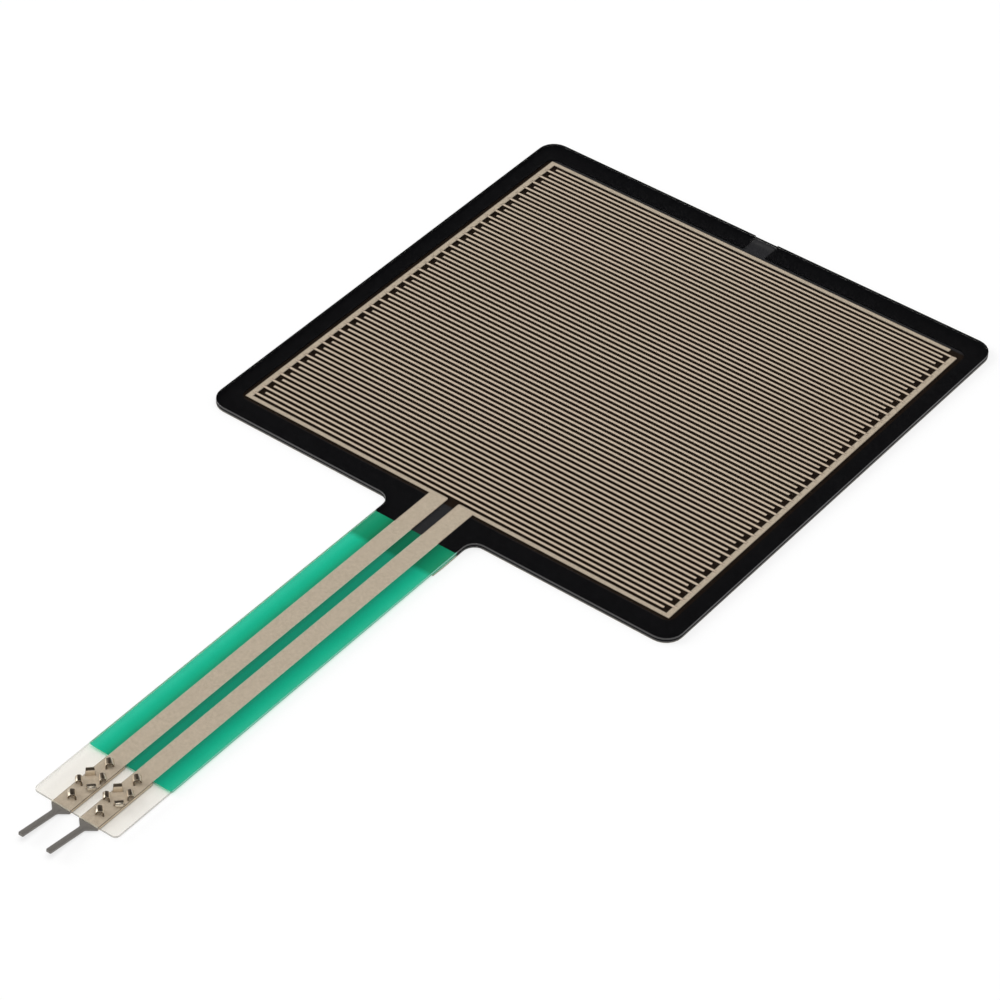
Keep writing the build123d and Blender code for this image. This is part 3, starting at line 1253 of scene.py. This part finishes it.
@dataclass
class PrintedComb:
    """One silver electrode: a trunk of bus, edge lines and track, and fingers that repeat at one pitch."""

    side: Direction
    finger_pitch: float = FINGER_PITCH
    finger_width: float = FINGER_WIDTH
    finger_pairs: int = 38
    edge_line: float = 0.4
    bus_width: float = 0.51
    bus_gap: float = 0.48
    track_pitch: float = TRACK_PITCH
    track_width: float = TRACK_WIDTH
    shoulder_radius: float = 0.2
    ink_corner: float = 0.05
    comb_half_width: float = 20.075

    @property
    def node(self) -> str:
        """CAD node of this electrode."""
        return "electrode_left" if self.side is Direction.LEFT else "electrode_right"

    @property
    def comb_near(self) -> float:
        """Near edge of the comb, counted back from the last finger of the right electrode."""
        _, high = node_box("electrode_right")
        return high.y - 2 * self.finger_pairs * self.finger_pitch - self.edge_line

    def trunk(self) -> list[Vector]:
        """Walks round bus, edge lines and track of the left electrode, and mirrors them for the right one.

        Returns:
            The outline's points in order.
        """
        low, high = node_box(self.node)
        left = self.side is Direction.LEFT
        bus_outer = -self.comb_half_width
        bus_inner = bus_outer + self.bus_width
        comb_near = self.comb_near
        line_top = comb_near + self.edge_line
        track_outer = -(self.track_pitch + self.track_width) / 2
        track_inner = -(self.track_pitch - self.track_width) / 2
        corners = [
            Corner(bus_outer, comb_near, self.ink_corner),
            Corner(track_outer, comb_near),
            Corner(track_outer, low.y),
            Corner(track_inner, low.y),
            Corner(track_inner, line_top, self.shoulder_radius),
            Corner(bus_inner, line_top),
        ]
        if left:
            line_bottom = high.y - self.edge_line
            far_end = self.comb_half_width - self.bus_width - self.bus_gap
            corners += [
                Corner(bus_inner, line_bottom),
                Corner(far_end, line_bottom, self.ink_corner),
                Corner(far_end, high.y, self.ink_corner),
            ]
        else:
            corners.append(Corner(bus_inner, high.y))
        corners.append(Corner(bus_outer, high.y, self.ink_corner))
        if not left:
            corners = [Corner(-c.x, c.y, c.radius) for c in reversed(corners)]
        return rounded_loop(corners, steps=3)

    def trunk_finish(self) -> TrunkInk:
        """Gives the trunk's silver the places of its straight bands and of the green ink.

        Returns:
            The finish.
        """
        left_low, left_high = node_box("electrode_left")
        green_low, green_high = node_box("green_ink")
        outer, near, far = self.comb_half_width, self.comb_near, left_high.y
        track_inner = (self.track_pitch - self.track_width) / 2
        return TrunkInk(
            green_start=green_high.y,
            green_end=green_low.y,
            bands=(
                (track_inner, track_inner + self.track_width, left_low.y, near + self.edge_line),
                (outer - self.bus_width, outer, near, far),
                (track_inner, outer, near, near + self.edge_line),
                (-outer, outer, far - self.edge_line, far),
            ),
        )

    def build(self, slots: Sequence[Sequence[Vector]]) -> None:
        """Builds the electrode.

        Args:
            slots: Loops of the slots that the tines of this side's contact need.
        """
        low, high = node_box(self.node)
        trunk = sheet_mesh([self.trunk(), *slots], low.z, high.z)
        trunk_finish = self.trunk_finish()
        gap = self.finger_pitch - self.finger_width
        first = self.comb_near + self.edge_line + gap + self.finger_width / 2
        finger_finish = CombInk(line_middle=first, pitch=self.finger_pitch, half_width=self.finger_width / 2)
        length = 2 * self.comb_half_width - self.bus_width - self.bus_gap - self.bus_width / 2
        if self.side is Direction.RIGHT:
            first += self.finger_pitch
        middle = self.side.value * (self.comb_half_width - self.bus_width / 2 - length / 2)
        carrier = bpy.data.objects.new(self.node + "_carrier", trunk)
        tree = finger_tree()
        modifier = carrier.modifiers.new("fingers", "NODES")
        modifier.node_group = tree
        values = {
            "Count": self.finger_pairs,
            "Step": 2 * self.finger_pitch,
            "First Finger": (middle, first, low.z),
            "Finger Length": length,
            "Finger Width": self.finger_width,
            "Corner Radius": self.ink_corner,
            "Ink Thickness": high.z - low.z,
            "Trunk Ink": trunk_finish.material(),
            "Finger Ink": finger_finish.material(),
        }
        for item in tree.interface.items_tree:
            if item.item_type == "SOCKET" and item.in_out == "INPUT" and item.name in values:
                modifier[item.identifier] = values[item.name]
        mesh = tidy_mesh(mesh_from(carrier))
        place_piece(self.node + "_print", mesh, [], self.node)


def finger_tree() -> bpy.types.NodeTree:
    """Makes the tree that prints a row of fingers beside a trunk, unless it is already made.

    Returns:
        The tree.
    """
    made = bpy.data.node_groups.get("finger_row")
    if made is not None:
        return made
    tree = bpy.data.node_groups.new("finger_row", "GeometryNodeTree")
    sockets = [
        ("Trunk", "NodeSocketGeometry"),
        ("Count", "NodeSocketInt"),
        ("Step", "NodeSocketFloat"),
        ("First Finger", "NodeSocketVector"),
        ("Finger Length", "NodeSocketFloat"),
        ("Finger Width", "NodeSocketFloat"),
        ("Corner Radius", "NodeSocketFloat"),
        ("Ink Thickness", "NodeSocketFloat"),
        ("Trunk Ink", "NodeSocketMaterial"),
        ("Finger Ink", "NodeSocketMaterial"),
    ]
    for name, kind in sockets:
        tree.interface.new_socket(name, in_out="INPUT", socket_type=kind)
    tree.interface.new_socket("Electrode", in_out="OUTPUT", socket_type="NodeSocketGeometry")
    given = add_node(tree, "NodeGroupInput").outputs
    bar = add_node(
        tree,
        "GeometryNodeCurvePrimitiveQuadrilateral",
        {"Width": given["Finger Length"], "Height": given["Finger Width"]},
        mode="RECTANGLE",
    )
    rounded = add_node(
        tree,
        "GeometryNodeFilletCurve",
        {"Curve": bar.outputs["Curve"], "Radius": given["Corner Radius"], "Count": 2, "Limit Radius": True},
        mode="POLY",
    )
    face = add_node(tree, "GeometryNodeFillCurve", {"Curve": rounded.outputs["Curve"]}, mode="NGONS")
    up = add_node(tree, "ShaderNodeCombineXYZ", {"Z": 1.0})
    raised = add_node(
        tree,
        "GeometryNodeExtrudeMesh",
        {
            "Mesh": face.outputs["Mesh"],
            "Offset": up.outputs["Vector"],
            "Offset Scale": given["Ink Thickness"],
            "Individual": False,
        },
        mode="FACES",
    )
    under = add_node(tree, "GeometryNodeFlipFaces", {"Mesh": face.outputs["Mesh"]})
    finger = add_node(tree, "GeometryNodeJoinGeometry")
    tree.links.new(raised.outputs["Mesh"], finger.inputs["Geometry"])
    tree.links.new(under.outputs["Mesh"], finger.inputs["Geometry"])
    step = add_node(tree, "ShaderNodeCombineXYZ", {"Y": given["Step"]})
    row = add_node(
        tree,
        "GeometryNodeMeshLine",
        {"Count": given["Count"], "Start Location": given["First Finger"], "Offset": step.outputs["Vector"]},
        mode="OFFSET",
    )
    copies = add_node(
        tree,
        "GeometryNodeInstanceOnPoints",
        {"Points": row.outputs["Mesh"], "Instance": finger.outputs["Geometry"]},
    )
    real = add_node(tree, "GeometryNodeRealizeInstances", {"Geometry": copies.outputs["Instances"]})
    whole = add_node(tree, "GeometryNodeJoinGeometry")
    for part, ink in ((given["Trunk"], "Trunk Ink"), (real.outputs["Geometry"], "Finger Ink")):
        inked = add_node(tree, "GeometryNodeSetMaterial", {"Geometry": part, "Material": given[ink]})
        tree.links.new(inked.outputs["Geometry"], whole.inputs["Geometry"])
    add_node(tree, "NodeGroupOutput", {"Electrode": whole.outputs["Geometry"]})
    return tree


@dataclass
class CrimpContact:
    """A stamped contact: plate, pin bent up, and four petals and two lances crimped through the film."""

    side: Direction
    track_pitch: float = TRACK_PITCH
    crimp_to_film_end: float = 3.1
    plate_width: float = PLATE_WIDTH
    plate_far_end: float = 5.67
    plate_thickness: float = 0.2
    bend_inset: float = 0.05
    pin_tilt: float = 8.0
    pin_bend_radius: float = 0.3
    shoulder_length: float = 0.6
    shoulder_radius: float = 0.35
    pin_width: float = 0.45
    pin_length: float = 4.05
    pin_chamfer: float = 0.06
    petal_turns: tuple[int, ...] = (45, 135, 225, 315)
    petal_opening: float = 1.16
    petal_root: float = 0.72
    petal_tip: float = 0.52
    petal_bend: float = 0.11
    lance_width: float = 0.62
    lance_bend: float = 0.18
    lance_spread: float = 1.95
    lance_hole: float = 0.35
    strip: float = 0.14
    rise: float = 0.06
    tip_gap: float = 0.01
    stamped_edge: float = 0.02
    slot_room: float = 0.02
    # Stretches of a tine's length, from the first to before the last, that the crimping tool scrapes, their
    # sheared brown also painted shade on the curl
    scrape_and_shade_start: int = 5
    scrape_and_shade_end: int = 9
    # Straight stretches of a tine's curl and of its rounded rims
    curl_steps: int = 12
    rim_steps: int = 2
    # Degrees from which a tine's edge is rounded, and under which two faces shade as one
    rim_angle: float = 60.0
    smooth_under: float = 35.0
    finish: StripMetal = StripMetal("tin_plated_phosphor_bronze", "#e0d4c0", "#b3a897", roughness=0.26)
    # The punch shears through tin and bronze, so the cut sides are dull and brown
    cut_finish: StripMetal = StripMetal(
        "sheared_phosphor_bronze", "#75695a", "#5c5144", roughness=0.45, line_stretch=1.0
    )
    # The pins are an even grey, less metallic and rougher than the plating
    pin_finish: StripMetal = StripMetal(
        "dulled_tin_on_pins", "#827e79", "#736f6a", metallic=0.3, roughness=0.5
    )
    # Beside the plates the light that comes through the film takes the hard edge off the cut
    plate_side_finish: StripMetal = StripMetal(
        "plate_side_in_diffused_light", "#dccbb2", "#cbb99e", metallic=0.1, roughness=0.6
    )

    @property
    def node(self) -> str:
        """CAD node of this contact."""
        return "contact_left" if self.side is Direction.LEFT else "contact_right"

    @property
    def film_end(self) -> float:
        """Near end of the tail's film."""
        return node_box("top_film")[0].y

    @property
    def centre(self) -> Vector:
        """Middle of the crimp, seen from above."""
        return Vector((self.side.value * self.track_pitch / 2, self.film_end + self.crimp_to_film_end))

    def reach(self, bend: float) -> float:
        """Length that a curled tine covers on the film."""
        return 2 * (self.strip + bend)

    def stands(self) -> list[tuple[Vector, float, float]]:
        """Where each tine stands.

        Returns:
            For each tine the middle of its stem, its turn in degrees and its width at the root.
        """
        places = []
        for turn in self.petal_turns:
            spot = self.centre + heading(turn) * (self.petal_opening + self.strip) / 2
            places.append((spot, turn, self.petal_root))
        back = (self.strip - self.reach(self.lance_bend)) / 2
        for turn, direction in ((45, 1), (225, -1)):
            spot = self.centre + Vector((0, direction * self.lance_spread)) + heading(turn) * back
            places.append((spot, turn, self.lance_width))
        return places

    def film_slots(self) -> list[list[Vector]]:
        """Loops of the slots that the tines need in whatever they pierce."""
        room = self.slot_room
        return [rectangle(self.strip + room, width + room, spot, turn) for spot, turn, width in self.stands()]

    def cross_opening(self) -> list[Vector]:
        """Cross that the four petals were cut from, its arms at 45 degrees to the tail.

        Returns:
            The outline's points in order.
        """
        arm, half = self.petal_opening / 2, self.petal_root / 2
        quarter = [Vector((arm, -half)), Vector((arm, half)), Vector((half, half))]
        loop = []
        for turn in self.petal_turns:
            spin = Matrix.Rotation(math.radians(turn), 2)
            loop += [self.centre + spin @ point for point in quarter]
        return loop

    def plate(self) -> bpy.types.Mesh:
        """Stamps plate, shoulder and pin with the openings that the tines leave, and bends the pin up.

        Returns:
            A closed mesh in millimetres.
        """
        middle = self.centre.x
        plate, pin = self.plate_width / 2, self.pin_width / 2
        bend_line = self.film_end + self.bend_inset
        bend_length = (self.pin_bend_radius + self.plate_thickness / 2) * math.radians(self.pin_tilt)
        shoulder_start = bend_line - bend_length
        shoulder_end = shoulder_start - self.shoulder_length
        tip = shoulder_start - self.pin_length
        right_side = [
            Corner(plate, self.film_end + self.plate_far_end),
            Corner(plate, shoulder_start),
            Corner(pin, shoulder_end, self.shoulder_radius),
            Corner(pin, tip + self.pin_chamfer),
            Corner(pin - self.pin_chamfer, tip),
        ]
        outline = [Corner(middle + c.x, c.y, c.radius) for c in right_side]
        outline += [Corner(middle - c.x, c.y, c.radius) for c in reversed(right_side)]
        loops = [rounded_loop(outline, steps=5), self.cross_opening()]
        for spot, turn, width in self.stands()[len(self.petal_turns) :]:
            behind = spot - heading(turn) * (self.strip + self.lance_hole) / 2
            loops.append(rectangle(self.lance_hole, width, behind, turn))
        low, _ = node_box(self.node)
        mesh = sheet_mesh(loops, low.z, low.z + self.plate_thickness, self.stamped_edge)
        split_at(mesh, 1, [bend_line, bend_line - bend_length / 2, shoulder_start])
        number_sides(mesh, lambda spot: ContactFace.PLATE_SIDE)
        for face in mesh.polygons:
            if face.center.y < bend_line:
                face.material_index = ContactFace.PIN
        axis_height = low.z + self.plate_thickness + self.pin_bend_radius
        for vertex in mesh.vertices:
            past = bend_line - vertex.co.y
            if past <= 0:
                continue
            turn = math.radians(self.pin_tilt) * min(past / bend_length, 1)
            straight = max(past - bend_length, 0)
            radius = axis_height - vertex.co.z
            vertex.co.y = bend_line - radius * math.sin(turn) - straight * math.cos(turn)
            vertex.co.z = axis_height - radius * math.cos(turn) + straight * math.sin(turn)
        return mesh

    def tine(self, root: float, tip: float, bend: float) -> bpy.types.Mesh:
        """Forms one tine at the origin, curling towards +X.

        Args:
            root: Width where it leaves the plate.
            tip: Width at its free end.
            bend: Inside radius of the curl.

        Returns:
            A closed mesh in millimetres.
        """
        low, _ = node_box(self.node)
        film_top = node_box("top_film")[1].z
        base = low.z + self.plate_thickness / 2
        bend_height = film_top + self.rise
        radius = bend + self.strip / 2
        # Middle line of the strip with the direction that points to its outer face
        line = [(Vector((0.0, base)), Vector((-1.0, 0.0))), (Vector((0.0, film_top)), Vector((-1.0, 0.0)))]
        for step in range(self.curl_steps + 1):
            angle = math.pi * (1 - step / self.curl_steps)
            outward = Vector((math.cos(angle), math.sin(angle)))
            line.append((Vector((radius, bend_height)) + outward * radius, outward))
        line.append((Vector((2 * radius, film_top + self.tip_gap)), Vector((1.0, 0.0))))
        shape = bmesh.new()
        rows = []
        last = len(line) - 1
        for index, (spot, outward) in enumerate(line):
            half = (root + (tip - root) * index / last) / 2
            outer = spot + outward * self.strip / 2
            inner = spot - outward * self.strip / 2
            corners = [(outer, -half), (outer, half), (inner, half), (inner, -half)]
            rows.append([shape.verts.new((p.x, y, p.y)) for p, y in corners])
        for index, (before, after) in enumerate(zip(rows, rows[1:])):
            for side in range(4):
                nearby = (side + 1) % 4
                face = shape.faces.new((before[side], before[nearby], after[nearby], after[side]))
                # The outer face has the plate sides' painted diffuse light on its way up, then the sheared
                # brown of scraping and painted shade, then plating. The cut sides are sheared
                outer_face = side == 0
                if outer_face and index < self.scrape_and_shade_start:
                    face.material_index = ContactFace.PLATE_SIDE
                elif side % 2 == 1 or (outer_face and index < self.scrape_and_shade_end):
                    face.material_index = ContactFace.SHEARED
        for row in (rows[0], rows[-1]):
            shape.faces.new(row).material_index = ContactFace.SHEARED
        bmesh.ops.recalc_face_normals(shape, faces=shape.faces)
        rims = [edge for edge in shape.edges if edge.calc_face_angle(0.0) > math.radians(self.rim_angle)]
        bmesh.ops.bevel(
            shape, geom=rims, offset=self.stamped_edge, segments=self.rim_steps, profile=0.5, affect="EDGES"
        )
        mesh = bpy.data.meshes.new("tine")
        shape.to_mesh(mesh)
        shape.free()
        return mesh

    def build(self) -> None:
        """Joins plate, petals and lances into one piece."""
        shape = bmesh.new()
        shape.from_mesh(self.plate())
        petal = self.tine(self.petal_root, self.petal_tip, self.petal_bend)
        lance = self.tine(self.lance_width, self.lance_width, self.lance_bend)
        for index, (spot, turn, _) in enumerate(self.stands()):
            copy = (petal if index < len(self.petal_turns) else lance).copy()
            spin = Matrix.Rotation(math.radians(turn), 4, "Z")
            copy.transform(Matrix.Translation((spot.x, spot.y, 0)) @ spin)
            shape.from_mesh(copy)
        mesh = bpy.data.meshes.new(self.node)
        shape.to_mesh(mesh)
        shape.free()
        finishes = [self.finish, self.cut_finish, self.pin_finish, self.plate_side_finish]
        name = self.node + "_stamping"
        place_piece(name, mesh, finishes, self.node, self.smooth_under)


@dataclass(frozen=True)
class Lamp:
    """A broad lamp far away."""

    name: str
    # Direction in which the lamp stands, seen from the sensor
    towards: tuple[float, float, float]
    # Angle across the lamp in degrees
    breadth: float
    # Share of the plain light level that it gives a level face
    share: float
    # Whether gloss mirrors the lamp
    mirrored: bool = True


@dataclass
class Studio:
    """Plain white table, soft lamps and the camera."""

    camera_place: tuple[float, float, float] = (138.73, -201.45, 199.62)
    camera_target: tuple[float, float, float] = (2.40, -16.62, 0.0)
    camera_roll: float = 1.76
    lens: float = 146.35
    sensor_width: float = 36.0
    # Nearest distance that the camera sees, metres
    clip_start: float = 0.01
    table_size: float = 4000.0
    # Grey with which the table sends light back onto what lies on it
    table_grey: tuple[float, float, float, float] = (0.8, 0.8, 0.8, 1.0)
    # The table lies this far under the rear adhesive, so that no two faces share one place
    table_gap: float = 0.01
    # Light that has come less than this many gaps leaves what lies right on the table
    touching_gaps: float = 5.0
    # Between 0 for a ray that met no clear face and 1 for one that met one
    clear_face_met: float = 0.5
    # How far the table's own white drowns the shadows on it
    shadow_fade: float = 0.6
    # The film yellows faintly what is seen through it
    film_tint: str = "#fcf9f2"
    lamps: tuple[Lamp, ...] = (
        Lamp("overhead_lamp", (0.2, -0.05, 0.98), 44.0, 0.315, mirrored=False),
        Lamp("front_lamp", (0.30, -0.40, 0.87), 26.0, 0.11),
        Lamp("left_lamp", (-0.85, -0.3, 0.45), 40.0, 0.15),
    )
    ambient: float = 0.45
    # Heights, as shares of straight up, between which the mirrored room falls from white to dim
    wall_top: float = 0.2
    ceiling_start: float = 0.5
    ceiling_glow: float = 0.02

    def camera(self) -> None:
        """Sets the camera where the photograph was taken from."""
        data = bpy.data.cameras.new("camera")
        data.lens = self.lens
        data.sensor_width = self.sensor_width
        data.clip_start = self.clip_start
        camera = bpy.data.objects.new("camera", data)
        place = Vector(self.camera_place) * MILLIMETRE
        target = Vector(self.camera_target) * MILLIMETRE
        level = (target - place).to_track_quat("-Z", "Y").to_matrix().to_4x4()
        roll = Matrix.Rotation(math.radians(self.camera_roll), 4, "Z")
        camera.matrix_world = Matrix.Translation(place) @ level @ roll
        bpy.context.scene.collection.objects.link(camera)
        bpy.context.scene.camera = camera

    def table(self) -> None:
        """Lays a white table that keeps the sensor's shadow."""
        half = self.table_size / 2
        mesh = bpy.data.meshes.new("table")
        corners = [(-half, -half), (half, -half), (half, half), (-half, half)]
        mesh.from_pydata([(x, y, -self.table_gap) for x, y in corners], [], [(0, 1, 2, 3)])
        mesh.transform(Matrix.Scale(MILLIMETRE, 4))
        material = bpy.data.materials.new("white_table")
        material.use_nodes = True
        tree = material.node_tree
        tree.nodes.clear()
        path = add_node(tree, "ShaderNodeLightPath").outputs
        card = add_node(tree, "ShaderNodeBsdfDiffuse", {"Color": self.table_grey})
        clear_faces = {0: path["Transparent Depth"], 1: self.clear_face_met}
        under_film = add_node(tree, "ShaderNodeMath", clear_faces, operation="GREATER_THAN")
        colour = add_node(
            tree,
            "ShaderNodeMix",
            {"Factor": under_film.outputs["Value"], COLOUR_A: WHITE, COLOUR_B: linear(self.film_tint)},
            data_type="RGBA",
        )
        lit = add_node(tree, "ShaderNodeBsdfDiffuse", {"Color": colour.outputs[MIXED_COLOUR]})
        white = add_node(tree, "ShaderNodeEmission", {"Color": WHITE, "Strength": 1.0})
        bare = add_node(tree, "ShaderNodeMath", clear_faces, operation="LESS_THAN")
        fade = add_node(
            tree, "ShaderNodeMath", {0: bare.outputs["Value"], 1: self.shadow_fade}, operation="MULTIPLY"
        )
        seen = add_node(
            tree,
            "ShaderNodeMixShader",
            {0: fade.outputs["Value"], 1: lit.outputs["BSDF"], 2: white.outputs["Emission"]},
        )
        shown = add_node(
            tree, "ShaderNodeMath", {0: path["Is Camera Ray"], 1: path["Is Glossy Ray"]}, operation="MAXIMUM"
        )
        mix = add_node(
            tree,
            "ShaderNodeMixShader",
            {0: shown.outputs["Value"], 1: card.outputs["BSDF"], 2: seen.outputs["Shader"]},
        )
        # From below the table is clear, and so it is for light that leaves what lies right on it
        touching = add_node(
            tree,
            "ShaderNodeMath",
            {0: path["Ray Length"], 1: self.touching_gaps * self.table_gap * MILLIMETRE},
            operation="LESS_THAN",
        )
        below = add_node(tree, "ShaderNodeNewGeometry").outputs["Backfacing"]
        clear = add_node(
            tree, "ShaderNodeMath", {0: touching.outputs["Value"], 1: below}, operation="MAXIMUM"
        )
        surface = add_node(
            tree,
            "ShaderNodeMixShader",
            {
                0: clear.outputs["Value"],
                1: mix.outputs["Shader"],
                2: add_node(tree, "ShaderNodeBsdfTransparent").outputs["BSDF"],
            },
        )
        add_node(tree, "ShaderNodeOutputMaterial", {"Surface": surface.outputs["Shader"]})
        mesh.materials.append(material)
        table = bpy.data.objects.new("table", mesh)
        bpy.context.scene.collection.objects.link(table)

    def hang(self, lamp: Lamp) -> None:
        """Hangs a lamp so that it gives a level face its share of the light.

        Args:
            lamp: The lamp.
        """
        towards = Vector(lamp.towards).normalized()
        data = bpy.data.lights.new(lamp.name, "SUN")
        data.energy = lamp.share * math.pi / towards.z
        data.angle = math.radians(lamp.breadth)
        hung = bpy.data.objects.new(lamp.name, data)
        hung.rotation_mode = "QUATERNION"
        hung.rotation_quaternion = towards.to_track_quat("Z", "Y")
        hung.visible_glossy = lamp.mirrored
        bpy.context.scene.collection.objects.link(hung)

    def room(self) -> None:
        """Lights the room evenly, white behind the table and dim overhead where gloss mirrors it."""
        world = bpy.data.worlds.new("room")
        world.use_nodes = True
        tree = world.node_tree
        tree.nodes.clear()
        path = add_node(tree, "ShaderNodeLightPath").outputs
        direction = add_node(tree, "ShaderNodeTexCoord").outputs["Generated"]
        height = add_node(tree, "ShaderNodeSeparateXYZ", {"Vector": direction}).outputs["Z"]
        mirrored = add_node(
            tree,
            "ShaderNodeMapRange",
            {
                "Value": height,
                "From Min": self.wall_top,
                "From Max": self.ceiling_start,
                "To Min": 1.0,
                "To Max": self.ceiling_glow,
            },
        )
        ambient = add_node(
            tree,
            "ShaderNodeMix",
            {"Factor": path["Is Glossy Ray"], 2: self.ambient, 3: mirrored.outputs["Result"]},
            data_type="FLOAT",
        )
        seen = add_node(
            tree,
            "ShaderNodeMath",
            {0: path["Is Camera Ray"], 1: path["Is Transmission Ray"]},
            operation="MAXIMUM",
        )
        strength = add_node(
            tree,
            "ShaderNodeMix",
            {"Factor": seen.outputs["Value"], 2: ambient.outputs[0], 3: 1.0},
            data_type="FLOAT",
        )
        background = add_node(
            tree, "ShaderNodeBackground", {"Color": WHITE, "Strength": strength.outputs[0]}
        )
        add_node(tree, "ShaderNodeOutputWorld", {"Surface": background.outputs["Background"]})
        bpy.context.scene.world = world

    def build(self) -> None:
        """Sets up camera, table and light."""
        self.camera()
        self.table()
        for lamp in self.lamps:
            self.hang(lamp)
        self.room()
        bpy.context.scene.view_settings.view_transform = "Standard"
        log.info("studio: camera, table, %d lamps and room", len(self.lamps))


def main() -> None:
    """Builds the sensor round the frame, then the studio."""
    logging.basicConfig(level=logging.INFO, format="%(name)s: %(message)s")
    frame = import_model()
    contacts = [CrimpContact(side) for side in Direction]
    slots = [contact.film_slots() for contact in contacts]
    Laminate().build(frame, slots[0] + slots[1])
    for side, own_slots in zip(Direction, slots):
        PrintedComb(side).build(own_slots)
    for contact in contacts:
        contact.build()
    Studio().build()


if __name__ == "__main__":
    main()
